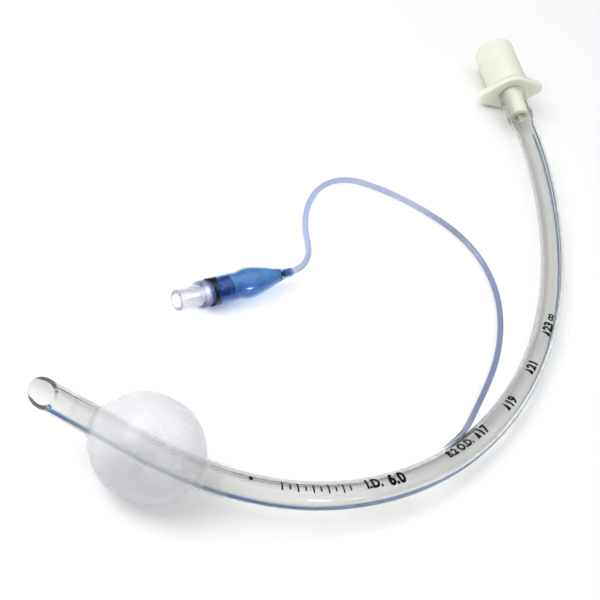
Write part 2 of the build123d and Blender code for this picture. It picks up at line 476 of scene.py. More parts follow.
@dataclass(frozen=True)
class MilkyPlastic:
    """Moulded milky plastic that light soaks into, with a fine satin skin."""

    name: str
    dark: Colour
    light: Colour
    soak: float = 0.5
    roughness: Pair = (0.3, 0.42)

    def material(self) -> bpy.types.Material:
        """Build the material.

        Returns:
            The node material.
        """
        nodes = Nodes(self.name)
        body = nodes.principled(
            IOR=1.49,
            Subsurface_Weight=self.soak,
            Subsurface_Scale=0.004,
            Subsurface_Radius=(1.0, 1.0, 0.8),
        )
        cloud = nodes.noise(120.0, 4.0)
        nodes.join(nodes.tint(cloud, self.dark, self.light), body.inputs["Base Color"])
        nodes.join(nodes.spread(cloud, *self.roughness), body.inputs["Roughness"])
        nodes.join(nodes.bump(nodes.noise(900.0, 3.0), 0.00002, 0.4), body.inputs["Normal"])
        nodes.finish(body)
        return nodes.material


@dataclass(frozen=True)
class SolidFinish:
    """Opaque finish with a fine grain, for ink, rubber, wire and the line in the wall."""

    name: str
    dark: Colour
    light: Colour
    roughness: Pair
    metal: float = 0.0
    gloss: float = 0.5
    grain: float = 600.0
    relief: float = 0.00001

    def material(self) -> bpy.types.Material:
        """Build the material.

        Returns:
            The node material.
        """
        nodes = Nodes(self.name)
        body = nodes.principled(Metallic=self.metal, Specular_IOR_Level=self.gloss)
        grain = nodes.noise(self.grain, 3.0)
        nodes.join(nodes.tint(grain, self.dark, self.light), body.inputs["Base Color"])
        nodes.join(nodes.spread(grain, *self.roughness), body.inputs["Roughness"])
        nodes.join(nodes.bump(grain, self.relief, 0.4), body.inputs["Normal"])
        nodes.finish(body)
        return nodes.material


# Painted light and shade round the shaft's section: place, as a share of a turn from the upper side by the
# outer one, and share of the tint, lighter where light is painted and darker where shade is painted
SHAFT_PAINTED_LIGHT_BANDS = (
    (0.0, 0.90),
    (0.07, 1.0),
    (0.17, 1.0),
    (0.26, 0.84),
    (0.4, 0.95),
    (0.6, 0.82),
    (0.74, 0.62),
    (0.88, 0.80),
)
SHAFT_VINYL = ClearPlastic(
    "clear_vinyl",
    (0.975, 0.975, 0.965),
    (0.86, 0.86, 0.85),
    refraction=1.48,
    straight=0.05,
    painted_light_bands=SHAFT_PAINTED_LIGHT_BANDS,
)
BLUE_LINE = SolidFinish("blue_line", (0.06, 0.18, 0.38), (0.10, 0.26, 0.50), (0.45, 0.6), grain=300.0)
CUFF_FILM = MilkyFilm("cuff_film", (0.86, 0.86, 0.90), (0.25, 0.34), (0.30, 0.42))
CUFF_COLLAR = MilkyFilm("cuff_collar", (0.84, 0.85, 0.82), (0.07, 0.13), (0.2, 0.3))
CONNECTOR_PLASTIC = MilkyPlastic("milky_plastic", (0.76, 0.79, 0.64), (0.84, 0.86, 0.73), soak=0.7)
# painted shade: the fade ramp darkens the tubing's tint towards +X, down to 0.6 of it
PILOT_TUBING = ClearPlastic(
    "blue_tubing", (0.50, 0.55, 0.75), (0.82, 0.83, 0.87), (0.08, 0.16), 1.42, depth=0.6, fade=(0.065, 0.020)
)
BALLOON_FILM = ClearPlastic(
    "balloon_film", (0.32, 0.54, 0.82), (0.86, 0.87, 0.90), (0.03, 0.08), 1.4, 160.0, 0.00008, depth=0.7
)
VALVE_CLEAR = ClearPlastic(
    "clear_valve_plastic", (0.97, 0.97, 1.0), (0.92, 0.92, 0.95), (0.05, 0.12), 1.4, straight=0.3
)
VALVE_SHELL = ClearPlastic(
    "blue_valve_plastic", (0.42, 0.52, 0.84), (0.84, 0.86, 0.90), (0.06, 0.12), 1.4, depth=0.7
)
INK = SolidFinish(
    "black_ink", (0.003, 0.003, 0.004), (0.008, 0.008, 0.009), (0.5, 0.7), gloss=0.05, grain=1500.0
)
SEAL_RUBBER = SolidFinish("seal_rubber", (0.55, 0.56, 0.58), (0.66, 0.67, 0.70), (0.5, 0.7))
PLUNGER_WHITE = SolidFinish("plunger_white", (0.80, 0.80, 0.82), (0.88, 0.88, 0.90), (0.25, 0.4))
SPRING_WIRE = SolidFinish("spring_wire", (0.55, 0.56, 0.58), (0.72, 0.73, 0.75), (0.2, 0.35), metal=1.0)


# The shaft


@dataclass(frozen=True)
class ShaftLine:
    """Centreline of the shaft: straight at the tip, bends of falling tightness, straight at the end.

    It lies in a plane that leans on the table. Distances run along it from the tip.
    """

    tip: Point = (-92.338 * MM, -103.430 * MM, 18.379 * MM)
    heading: float = radians(-13.5)
    lean_right: float = 0.1018
    lean_back: float = -0.0367
    tip_straight: float = 33.5 * MM
    bend_radii: tuple[float, ...] = (98.0 * MM, 126.0 * MM, 164.0 * MM, 190.0 * MM, 110.0 * MM)
    bend_lengths: tuple[float, ...] = (60.0 * MM, 60.0 * MM, 90.0 * MM, 60.0 * MM, 16.0 * MM)
    end_straight: float = 20.0 * MM

    @property
    def length(self) -> float:
        """Length from the tip to the connector."""
        return self.tip_straight + sum(self.bend_lengths) + self.end_straight

    def axes(self) -> tuple[np.ndarray, np.ndarray, np.ndarray]:
        """Work out the plane's own directions.

        Returns:
            The way the tip's stretch runs, the way across it to the inner side, and the way up.
        """
        ahead = np.array([cos(self.heading), sin(self.heading), 0.0])
        ahead[2] = -self.lean_right * ahead[0] - self.lean_back * ahead[1]
        ahead = unit(ahead)
        up = unit(np.array([self.lean_right, self.lean_back, 1.0]))
        return ahead, np.cross(up, ahead), up

    def frames(self, distance: np.ndarray) -> tuple[np.ndarray, np.ndarray, np.ndarray, np.ndarray]:
        """Place and directions at distances from the tip.

        Each stretch adds its own part, up to its end: a straight one its length along its heading,
        and a bend of radius R, turned through a from heading h, R (sin(h+a) - sin h) ahead and
        R (cos h - cos(h+a)) across.

        Args:
            distance: Array of distances, in metres.

        Returns:
            Centres, and unit vectors up, to the outer side of the bend, and along the shaft.
        """
        ahead, across, up = self.axes()
        radii = (None, *self.bend_radii, None)
        lengths = (self.tip_straight, *self.bend_lengths, self.end_straight)
        start, turn = 0.0, 0.0
        x, y, heading = np.zeros_like(distance), np.zeros_like(distance), np.zeros_like(distance)
        for radius, length in zip(radii, lengths):
            part = np.clip(distance - start, 0.0, length)
            if start + length > self.length - 1e-9:
                part = np.maximum(distance - start, 0.0)
            if radius is None:
                x = x + part * cos(turn)
                y = y + part * sin(turn)
            else:
                x = x + radius * (np.sin(turn + part / radius) - sin(turn))
                y = y + radius * (cos(turn) - np.cos(turn + part / radius))
                heading = heading + part / radius
                turn += length / radius
            start += length
        centre = np.array(self.tip) + x[..., None] * ahead + y[..., None] * across
        tangent = np.cos(heading)[..., None] * ahead + np.sin(heading)[..., None] * across
        outer = np.sin(heading)[..., None] * ahead - np.cos(heading)[..., None] * across
        return centre, np.broadcast_to(up, centre.shape), outer, tangent

    def around(self, distance: np.ndarray, radius: np.ndarray, angle: np.ndarray) -> np.ndarray:
        """Points round the shaft: centre + radius (cos angle up + sin angle outer).

        Args:
            distance: Distances from the tip.
            radius: Distances from the centreline.
            angle: Angles from the upper side, towards the outer side of the bend.

        Returns:
            The points, with the shape of the three arrays together.
        """
        distance, radius, angle = np.broadcast_arrays(distance, radius, angle)
        centre, up, outer, _ = self.frames(distance)
        ray = np.cos(angle)[..., None] * up + np.sin(angle)[..., None] * outer
        return centre + radius[..., None] * ray

    def axis_at(self, distance: float) -> TurningAxis:
        """Turning axis through the centreline at one distance, pointing away from the tip."""
        centre, up, _, tangent = self.frames(np.array([distance]))
        return TurningAxis(centre[0], tangent[0], up[0])


@dataclass
class Shaft:
    """Clear shaft with its slanted tip, the blue line in its wall and the thin inflation lumen."""

    line: ShaftLine
    outer_radius: float = 4.1 * MM
    bore_radius: float = 3.0 * MM
    bevel_angle: float = radians(46.0)
    bevel_turn: float = radians(-45.0)
    swell: float = 0.9 * MM
    swell_start: float = 18.0 * MM
    swell_full: float = 10.0 * MM
    stem_length: float = 12.0 * MM
    tip_zone: float = 16.0 * MM
    lip_round: float = 0.28 * MM
    notch_middle: float = 148.0 * MM
    notch_half: float = 8.0 * MM
    notch_angle: float = radians(-58.0)
    notch_spread: float = radians(17.0)
    notch_depth: float = 0.75 * MM
    stripe_half_width: float = 0.85 * MM
    stripe_depth: float = 0.5 * MM
    stripe_cover: float = 0.05 * MM
    stripe_play: float = 0.02 * MM
    strip_gap: float = 0.4 * MM
    lumen_radius: float = 0.25 * MM
    lumen_start: float = 26.5 * MM
    lumen_end: float = 143.5 * MM
    wall_step: float = 1.0 * MM
    notch_step: float = 0.25 * MM
    bore_step: float = 1.5 * MM
    end_edge: float = 0.3 * MM
    end_round: float = 0.1 * MM

    def bevel(self, radius: np.ndarray, angle: np.ndarray) -> np.ndarray:
        """Distance from the tip at which the slanted cut meets a ray of the section.

        It is (R + r cos(a + turn)) / tan(slant), for the outer radius R and a point at radius r.

        Args:
            radius: Distance of the point from the centreline.
            angle: Angle of the point from the upper side.

        Returns:
            The distance along the shaft.
        """
        return (self.outer_radius + radius * np.cos(angle + self.bevel_turn)) / tan(self.bevel_angle)

    def swollen(self, distance: np.ndarray, full: float) -> np.ndarray:
        """Growth of a radius over the connector's stem: swell (3 t^2 - 2 t^3), t from 0 to 1.

        Args:
            distance: Distances from the tip.
            full: How far short of the shaft's end the growth is complete.

        Returns:
            The growth at each distance.
        """
        start = self.line.length - self.swell_start
        t = np.clip((distance - start) / (self.swell_start - full), 0.0, 1.0)
        return self.swell * (3 * t**2 - 2 * t**3)

    def wall(self) -> np.ndarray:
        """Grid of the wall: along the outside to the tip, round its lip, and back along the bore.

        Returns:
            Grid of points whose rows and columns both loop.
        """
        columns = 72
        angle = np.linspace(0, 2 * pi, columns, endpoint=False)[None, :]
        notch = (self.notch_middle - self.notch_half, self.notch_middle + self.notch_half)
        outside = np.concatenate(
            [
                np.arange(self.line.length - self.end_edge, notch[1] + self.wall_step / 2, -self.wall_step),
                np.arange(notch[1], notch[0], -self.notch_step),
                np.arange(notch[0] - self.wall_step / 2, self.tip_zone, -self.wall_step),
            ]
        )[:, None] + 0 * angle
        away = (outside - self.notch_middle) / self.notch_half
        turned = (np.mod(angle - self.notch_angle + pi, 2 * pi) - pi) / self.notch_spread
        hollow = np.clip(1 - away**2, 0, 1) ** 0.7 * np.exp(-(turned**4))
        outside_radius = self.outer_radius - self.notch_depth * hollow
        outside_radius = outside_radius + self.swollen(outside, self.swell_full)
        share = np.linspace(0, 1, 24)[:, None]
        tip_start = self.bevel(self.outer_radius + 0 * angle, angle) + self.lip_round
        near = self.tip_zone + (tip_start - self.tip_zone) * share
        near_radius = self.outer_radius + 0 * near
        turn = np.linspace(0, pi, 14)[1:-1, None]
        middle = (self.outer_radius + self.bore_radius) / 2
        half = (self.outer_radius - self.bore_radius) / 2
        lip_radius = middle + half * np.sign(np.cos(turn)) * np.abs(np.cos(turn)) ** 0.6 + 0 * angle
        lip = self.bevel(lip_radius, angle) + self.lip_round * (1 - np.sin(turn) ** 0.6)
        inner_start = self.bevel(self.bore_radius + 0 * angle, angle) + self.lip_round
        inner_near = inner_start + (self.tip_zone - inner_start) * share
        inside = np.arange(self.tip_zone + self.bore_step, self.line.length, self.bore_step)
        inside = inside[:, None] + 0 * angle
        last = np.full((1, columns), self.line.length)
        end_bore = self.bore_radius + self.swell + 0 * last
        rows = [outside, near, lip, inner_near, inside, last, last, last]
        radii = [outside_radius, near_radius, lip_radius, self.bore_radius + 0 * inner_near]
        radii += [self.bore_radius + self.swollen(inside, self.stem_length)]
        radii += [end_bore, end_bore + self.end_round]
        radii += [self.outer_radius + self.swell - self.end_round + 0 * last]
        return self.line.around(np.concatenate(rows), np.concatenate(radii), angle)

    def strip(
        self, angle: float, half_turn: float, radius: float, half_depth: float, span: Pair
    ) -> np.ndarray:
        """Grid of a strip in the wall with an oval section.

        A section point at turn t stands at angle + half_turn cos t and radius + half_depth sin t.

        Args:
            angle: Middle of the strip round the shaft.
            half_turn: Half of its width, as an angle.
            radius: Its middle distance from the centreline.
            half_depth: Half of its depth.
            span: Where it starts and ends along the shaft.

        Returns:
            Grid of points, with open rows and looping columns.
        """
        turn = np.linspace(0, 2 * pi, 20, endpoint=False)[None, :]
        section_angle = angle + half_turn * np.sign(np.cos(turn)) * np.abs(np.cos(turn)) ** 0.7
        section_radius = radius + half_depth * np.sign(np.sin(turn)) * np.abs(np.sin(turn)) ** 0.7
        start = np.maximum(span[0], self.bevel(section_radius, section_angle) + self.strip_gap)
        share = np.linspace(0, 1, 260)[:, None]
        distance = start + (span[1] - start) * share
        return self.line.around(distance, section_radius, section_angle)

    def build(self) -> dict[str, bpy.types.Object]:
        """Make the shaft and the blue line.

        Returns:
            The pieces by name.
        """
        wall = surface("shaft_wall", self.wall(), loop_rows=True)
        outwards(wall)
        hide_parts("tube")
        depth = self.stripe_depth / 2
        stripe = surface(
            "shaft_blue_line",
            self.strip(
                Side.OUTER.value,
                self.stripe_half_width / self.outer_radius,
                self.outer_radius - depth - self.stripe_cover,
                depth - self.stripe_play,
                (0.0, self.line.length - self.line.end_straight),
            ),
            caps=True,
        )
        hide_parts("radiopaque_stripe")
        channel = surface(
            "shaft_air_channel",
            self.strip(
                Side.INNER.value,
                self.lumen_radius / self.outer_radius,
                (self.outer_radius + self.bore_radius) / 2,
                self.lumen_radius,
                (self.lumen_start, self.lumen_end),
            ),
            caps=True,
        )
        outwards(stripe)
        outwards(channel)
        return {"wall": wall, "stripe": stripe, "channel": channel}

    def dress(self, pieces: dict[str, bpy.types.Object]) -> None:
        """Give each piece its finish and its body."""
        vinyl = SHAFT_VINYL.material()
        pieces["wall"].data.materials.append(vinyl)
        pieces["stripe"].data.materials.append(BLUE_LINE.material())
        # the air channel is a hollow in the wall, so its faces point into it and it shares the wall's mesh
        channel = pieces.pop("channel")
        channel.data.flip_normals()
        joined = bmesh.new()
        joined.from_mesh(pieces["wall"].data)
        joined.from_mesh(channel.data)
        joined.to_mesh(pieces["wall"].data)
        joined.free()
        bpy.data.objects.remove(channel)
        for piece in pieces.values():
            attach(piece, SET_BODY)


@dataclass
class Print:
    """Black print on the shaft.

    It has size numbers, depth numbers with their wedges, a row of plain ticks, a dot and two rings.
    """

    line: ShaftLine
    radius: float = 4.1 * MM
    lift: float = 0.02 * MM
    thickness: float = 0.03 * MM
    capital_share: float = 0.7
    marks: tuple[tuple[str, float, float, float], ...] = (
        ("I.D.", 101.6 * MM, 2.8 * MM, -10.0),
        ("6.0", 110.2 * MM, 3.5 * MM, -11.0),
        ("8.2 O.D.", 136.8 * MM, 2.45 * MM, -23.0),
        ("17", 154.4 * MM, 3.0 * MM, -24.0),
        ("19", 173.8 * MM, 3.0 * MM, -17.0),
        ("21", 195.0 * MM, 3.0 * MM, -21.0),
        ("23", 216.2 * MM, 3.0 * MM, -15.0),
    )
    letter_weight: float = 0.075
    letter_space: float = 1.06
    wedge_width: float = 1.9 * MM
    wedge_gap: float = 0.6 * MM
    wedge_peak: Pair = (-1.2 * MM, -0.9 * MM)
    tick_start: float = 73.5 * MM
    tick_step: float = 2.5 * MM
    tick_count: int = 10
    tick_half_width: float = 0.27 * MM
    tick_half_lengths: Pair = (1.3 * MM, 0.8 * MM)
    dot_place: float = 64.0 * MM
    dot_angle: float = radians(-6.0)
    dot_radius: float = 0.65 * MM
    ring_places: Pair = (222.6 * MM, 224.1 * MM)
    ring_angle: float = radians(-12.0)

    def wrap(self, piece: bpy.types.Object, start: float, angle: float) -> None:
        """Roll a flat drawing onto the shaft.

        A point (x, y) goes to the distance start + x and the angle angle - y / radius.

        Args:
            piece: Flat mesh in the XY plane.
            start: Distance of its x = 0 from the tip.
            angle: Angle of its y = 0 from the upper side.
        """
        count = len(piece.data.vertices)
        flat = np.empty(count * 3)
        piece.data.vertices.foreach_get("co", flat)
        flat = flat.reshape(-1, 3)
        radius = self.radius + self.lift + flat[:, 2]
        rolled = self.line.around(start + flat[:, 0], radius, angle - flat[:, 1] / self.radius)
        piece.data.vertices.foreach_set("co", rolled.reshape(-1))
        piece.data.update()

    def cut(self, mesh: bpy.types.Mesh, step: float = 0.35 * MM) -> None:
        """Cut a flat drawing into narrow strips each way, so that it bends smoothly.

        Args:
            mesh: Flat mesh in the XY plane.
            step: Width of the strips.
        """
        work = bmesh.new()
        work.from_mesh(mesh)
        reach = np.array([vertex.co[:] for vertex in work.verts])
        low, high = reach.min(axis=0), reach.max(axis=0)
        for place in np.arange(low[1] + step, high[1], step):
            everything = work.verts[:] + work.edges[:] + work.faces[:]
            bmesh.ops.bisect_plane(work, geom=everything, plane_co=(0, place, 0), plane_no=(0, 1, 0))
        for place in np.arange(low[0] + 2 * step, high[0], 2 * step):
            everything = work.verts[:] + work.edges[:] + work.faces[:]
            bmesh.ops.bisect_plane(work, geom=everything, plane_co=(place, 0, 0), plane_no=(1, 0, 0))
        work.to_mesh(mesh)
        work.free()

    def lettering(self, words: str, height: float) -> bpy.types.Mesh:
        """Draw a line of characters as a flat mesh, its middle height at y = 0.

        Args:
            words: The characters.
            height: Height of a capital.

        Returns:
            The flat mesh.
        """
        curve = bpy.data.curves.new("figures", "FONT")
        curve.body = words
        curve.size = height / self.capital_share
        curve.offset = self.letter_weight * height
        curve.space_character = self.letter_space
        curve.resolution_u = 4
        curve.fill_mode = "FRONT"
        holder = bpy.data.objects.new("figures", curve)
        bpy.context.scene.collection.objects.link(holder)
        bpy.context.view_layer.update()
        mesh = bpy.data.meshes.new_from_object(holder)
        mesh.transform(Matrix.Translation((0, -height / 2, 0)))
        bpy.data.objects.remove(holder)
        bpy.data.curves.remove(curve)
        return mesh

    def plate(self, outline: list[Pair], name: str) -> bpy.types.Mesh:
        """Make a flat face from its outline."""
        mesh = bpy.data.meshes.new(name)
        mesh.from_pydata([(x, y, 0) for x, y in outline], [], [list(range(len(outline)))])
        return mesh

    def annulus(self, outer: float = 1.0 * MM, inner: float = 0.4 * MM, sides: int = 24) -> bpy.types.Mesh:
        """Make a flat ring: quads between two circles of the same number of points.

        Args:
            outer: Outer radius.
            inner: Inner radius.
            sides: Number of points round each circle.

        Returns:
            The flat mesh.
        """
        turn = np.linspace(0, 2 * pi, sides, endpoint=False)
        circle = np.stack([np.cos(turn), np.sin(turn), 0 * turn], axis=1)
        here = np.arange(sides)
        after = (here + 1) % sides
        quads = np.stack([here, after, after + sides, here + sides], axis=1)
        mesh = bpy.data.meshes.new("ring")
        mesh.from_pydata(np.concatenate([outer * circle, inner * circle]).tolist(), [], quads.tolist())
        return mesh

    def drawing(self) -> list[tuple[str, bpy.types.Mesh, float, float]]:
        """List every mark of the print.

        Returns:
            Name, flat mesh, distance from the tip and angle of each mark.
        """
        found = []
        for index, (words, start, height, degrees_round) in enumerate(self.marks):
            angle = radians(degrees_round)
            found.append((f"{Mark.FIGURE.value}_{index}", self.lettering(words, height), start, angle))
            if words.isdigit():
                half = height / 2
                left, right = self.wedge_peak
                foot = [(-self.wedge_width - self.wedge_gap, -half), (-self.wedge_gap, -half)]
                wedge = self.plate([*foot, (right, half), (left, half)], Mark.WEDGE.value)
                found.append((f"{Mark.WEDGE.value}_{words}", wedge, start, angle))
        for index in range(self.tick_count):
            half = self.tick_half_lengths[index % 2]
            side = self.tick_half_width
            tick = self.plate([(-side, -half), (side, -half), (side, half), (-side, half)], Mark.TICK.value)
            place = self.tick_start + index * self.tick_step
            found.append((f"{Mark.TICK.value}_{index}", tick, place, Side.UPPER.value))
        turn = np.linspace(0, 2 * pi, 24, endpoint=False)
        disc = [(self.dot_radius * cos(a), self.dot_radius * sin(a)) for a in turn]
        found.append((Mark.DOT.value, self.plate(disc, Mark.DOT.value), self.dot_place, self.dot_angle))
        for index, place in enumerate(self.ring_places):
            found.append((f"{Mark.RING.value}_{index}", self.annulus(), place, self.ring_angle))
        return found

    def build(self) -> list[bpy.types.Object]:
        """Make the print as thin pieces of ink that follow the shaft.

        Returns:
            The pieces.
        """
        pieces = []
        for name, mesh, start, angle in self.drawing():
            self.cut(mesh)
            piece = bpy.data.objects.new(f"print_{name}", mesh)
            bpy.context.scene.collection.objects.link(piece)
            solid = piece.modifiers.new("ink", "SOLIDIFY")
            solid.thickness = self.thickness
            solid.offset = 1.0
            self.wrap(piece, start, angle)
            pieces.append(piece)
        return pieces

    def dress(self, pieces: list[bpy.types.Object]) -> None:
        """Ink every mark and fix it to the shaft."""
        ink = INK.material()
        for piece in pieces:
            piece.data.materials.clear()
            piece.data.materials.append(ink)
            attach(piece, SET_BODY)


@dataclass
class Cuff:
    """Inflated cuff: a thin film bonded to the shaft at a collar each way, blown into a bulb."""

    line: ShaftLine
    crown: float = 14.6 * MM
    foot: float = 4.65 * MM
    shaft_radius: float = 4.13 * MM
    film: float = 0.16 * MM
    middle: float = 35.0 * MM
    half: float = 15.5 * MM
    collar_start: float = 12.5 * MM
    collar_end: float = 58.5 * MM
    collar_gap: float = 0.6 * MM
    pleats: int = 14
    pleat_depth: float = 0.012
    pleat_reach: float = 0.22
    columns: int = 96
    first_rows: int = 12
    bulb_rows: int = 59
    last_rows: int = 14

    def bulb(self, share: np.ndarray) -> np.ndarray:
        """Radius of the bulb: foot + (crown - foot) (1 - |u|^2.5)^0.9, for u from -1 to 1."""
        return self.foot + (self.crown - self.foot) * (1 - np.abs(share) ** 2.5) ** 0.9

    def skin(self, inset: float, ends: bool) -> np.ndarray:
        """Grid of the film's outside, or of its inside when there is an inset.

        The collars follow the shaft, and the bulb turns about the straight line between its two
        ends. Shallow pleats fade out from the collars: the radius takes a factor of one plus
        a small cosine of the angle, largest at the bulb's feet.

        Args:
            inset: How far inside the outer skin the grid lies.
            ends: True for the outside, whose collars stand off the shaft by their thickness.

        Returns:
            Grid of points, with open rows and looping columns.
        """
        angle = np.linspace(0, 2 * pi, self.columns, endpoint=False)[None, :]
        u = np.sin(np.linspace(-pi / 2, pi / 2, self.bulb_rows + 2))[:, None]
        ends_at = self.line.frames(np.array([self.middle - self.half, self.middle + self.half]))
        low, high = ends_at[0]
        axis = unit(high - low)
        up = ends_at[1][0]
        outer = unit(np.cross(axis, up))
        radius = self.bulb(u) - inset
        pleat = self.pleat_depth * np.exp(-(((1 - np.abs(u)) / self.pleat_reach) ** 2))
        pleat = pleat * (1 - np.abs(u) ** 40)
        radius = radius * (1 + pleat * np.cos(self.pleats * angle + 0.8 * np.sin(3 * angle)))
        ray = np.cos(angle)[..., None] * up + np.sin(angle)[..., None] * outer
        centre = (low + high) / 2 + (self.half - inset) * u[..., None] * axis
        bulb = centre + radius[..., None] * ray
        collar = self.foot if ends else self.shaft_radius
        bulb_start, bulb_end = self.middle - self.half, self.middle + self.half
        first = np.linspace(self.collar_start, bulb_start - self.collar_gap, self.first_rows)[:, None]
        last = np.linspace(bulb_end + self.collar_gap, self.collar_end, self.last_rows)[:, None]
        before = self.line.around(first, np.full_like(first, collar) + 0 * angle, angle)
        after = self.line.around(last, np.full_like(last, collar) + 0 * angle, angle)
        return np.concatenate([before, bulb[1:-1], after])

    def build(self) -> bpy.types.Object:
        """Make the cuff as one closed film.

        Returns:
            The cuff.
        """
        outside = self.skin(0.0, True)
        inside = self.skin(self.film, False)[::-1]
        cuff = surface("cuff_film", np.concatenate([outside, inside]), loop_rows=True)
        outwards(cuff)
        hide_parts("cuff")
        return cuff

    def dress(self, cuff: bpy.types.Object) -> None:
        """Give the cuff its milky film."""
        cuff.data.materials.append(CUFF_FILM.material())
        cuff.data.materials.append(CUFF_COLLAR.material())
        rows = np.arange(len(cuff.data.polygons)) // self.columns
        skin_rows = self.first_rows + self.bulb_rows + self.last_rows
        row = np.minimum(rows, 2 * skin_rows - 1 - rows)
        collar = (row < self.first_rows - 1) | (row > self.first_rows + self.bulb_rows)
        cuff.data.polygons.foreach_set("material_index", collar.astype(np.int32))
        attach(cuff, SET_BODY)


@dataclass
class Connector:
    """Milky connector: a stem in the shaft, a flange with two ears, and the tapered barrel."""

    line: ShaftLine
    stem_length: float = 12.0 * MM
    stem_radius: float = 3.88 * MM
    stem_bore: float = 2.6 * MM
    flange: float = 2.4 * MM
    ear_reach: float = 13.0 * MM
    ear_radius: float = 3.3 * MM
    ear_turn: float = radians(27.0)
    disc_radius: float = 8.7 * MM
    barrel: float = 20.0 * MM
    foot_radius: float = 7.86 * MM
    land_radius: float = 7.735 * MM
    mouth_radius: float = 7.62 * MM
    bore_radius: float = 6.3 * MM
    funnel_foot: float = 1.0 * MM
    funnel_top: float = 6.5 * MM
    land_start: float = 7.0 * MM
    edge_round: float = 0.6 * MM
    tip_inset: float = 0.3 * MM
    tip_taper: float = 1.2 * MM
    shoulder: float = 0.5 * MM
    root_round: float = 0.8 * MM

    def outline(self, angle: np.ndarray) -> tuple[np.ndarray, np.ndarray]:
        """Outline of the flange, the hull of a disc and two ears.

        The point whose edge faces an angle lies on whichever round reaches furthest that way: its
        centre plus its radius along the angle.

        Args:
            angle: Angles that the edge faces.

        Returns:
            The outline's points across the connector, and the way that each faces.
        """
        facing = np.stack([np.cos(angle), np.sin(angle)], axis=-1)
        ear_way = np.array([[sin(self.ear_turn), cos(self.ear_turn)]])
        near_ear = np.sign(np.sum(facing * ear_way, axis=1, keepdims=True))
        ear = (self.ear_reach - self.ear_radius) * near_ear * ear_way
        on_ear = np.sum(ear * facing, axis=1) + self.ear_radius > self.disc_radius
        centre = np.where(on_ear[:, None], ear, 0.0)
        radius = np.where(on_ear, self.ear_radius, self.disc_radius)[:, None]
        return centre + radius * facing, facing

    def grid(self) -> np.ndarray:
        """Grid of the whole connector: stem, flange, barrel, mouth, bore and funnel, back to the stem.

        Returns:
            Grid of points whose rows and columns both loop.
        """
        angle = np.linspace(0, 2 * pi, 144, endpoint=False)
        plate, facing = self.outline(angle)
        circle = np.stack([np.cos(angle), np.sin(angle)], axis=-1)
        top = self.flange + self.barrel
        half = self.flange / 2
        tip = (self.stem_radius - self.tip_inset, -self.stem_length)
        stem = [tip]
        stem += [(self.stem_radius, low) for low in (self.tip_taper - self.stem_length, -self.shoulder, 0.0)]
        turn = np.linspace(-pi / 2, pi / 2, 13)
        inset = self.edge_round * (1 - np.cos(turn))
        rise = half + np.sign(turn) * (half - self.edge_round) + self.edge_round * np.sin(turn)
        barrel = rounded(
            [
                (self.foot_radius, self.flange, 0.7 * MM),
                (self.land_radius, self.flange + self.land_start, 1.0 * MM),
                (self.mouth_radius, top, 0.55 * MM),
                (self.bore_radius, top, 0.45 * MM),
                (self.bore_radius, self.funnel_top, 1.2 * MM),
                (self.stem_bore, self.funnel_foot, 1.0 * MM),
                (self.stem_bore, -self.stem_length, 0.15 * MM),
                (*tip, 0.1 * MM),
            ]
        )
        axis = self.line.axis_at(self.line.length)

        def ring(radius: float, height: float) -> np.ndarray:
            """Round row of the grid at a height along the axis."""
            ray = circle[:, :1] * axis.side + circle[:, 1:] * axis.lift
            return axis.foot + height * axis.along + radius * ray

        def edge(inset: float, height: float, share: float = 1.0, radius: float = 0.0) -> np.ndarray:
            """Row of the flange, a share of the way from a ring out to the outline."""
            flat = (plate - inset * facing) * share + (1 - share) * radius * circle
            return axis.foot + height * axis.along + flat[:, :1] * axis.side + flat[:, 1:] * axis.lift

        rows = [ring(radius, height) for radius, height in stem]
        rows += [edge(self.edge_round, 0.0, share, self.stem_radius) for share in (0.3, 0.6, 0.9)]
        rows += [edge(back, height) for back, height in zip(inset, rise)]
        root = self.foot_radius + self.root_round
        rows += [edge(self.edge_round, self.flange, share, root) for share in (0.85, 0.5, 0.15)]
        rows += [ring(radius, height) for radius, height in barrel[1:-3]]
        return np.stack(rows)

    def build(self) -> bpy.types.Object:
        """Make the connector.

        Returns:
            The connector.
        """
        connector = surface("connector_body", self.grid(), loop_rows=True)
        outwards(connector)
        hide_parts("connector")
        return connector

    def dress(self, connector: bpy.types.Object) -> None:
        """Give the connector its milky plastic."""
        connector.data.materials.append(CONNECTOR_PLASTIC.material())
        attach(connector, SET_BODY)


# The pilot line with its balloon and valve


@dataclass(frozen=True)
class ValveAxis:
    """Common axis of the pilot balloon and the valve, from the port's mouth inwards."""

    mouth: Point = (-50.225 * MM, -47.121 * MM, 4.04 * MM)
    heading: float = radians(33.3)
    rise: float = (4.85 - 4.3) / (26.5 - 9.2)

    def axis(self) -> TurningAxis:
        """The turning axis."""
        along = unit(np.array([cos(self.heading), sin(self.heading), self.rise]))
        side = unit(np.cross([0.0, 0.0, 1.0], along))
        return TurningAxis(np.array(self.mouth), along, side)

    def point(self, distance: float) -> Point:
        """Point on the axis at a distance in from the mouth."""
        axis = self.axis()
        return tuple(float(value) for value in axis.foot + axis.along * distance)


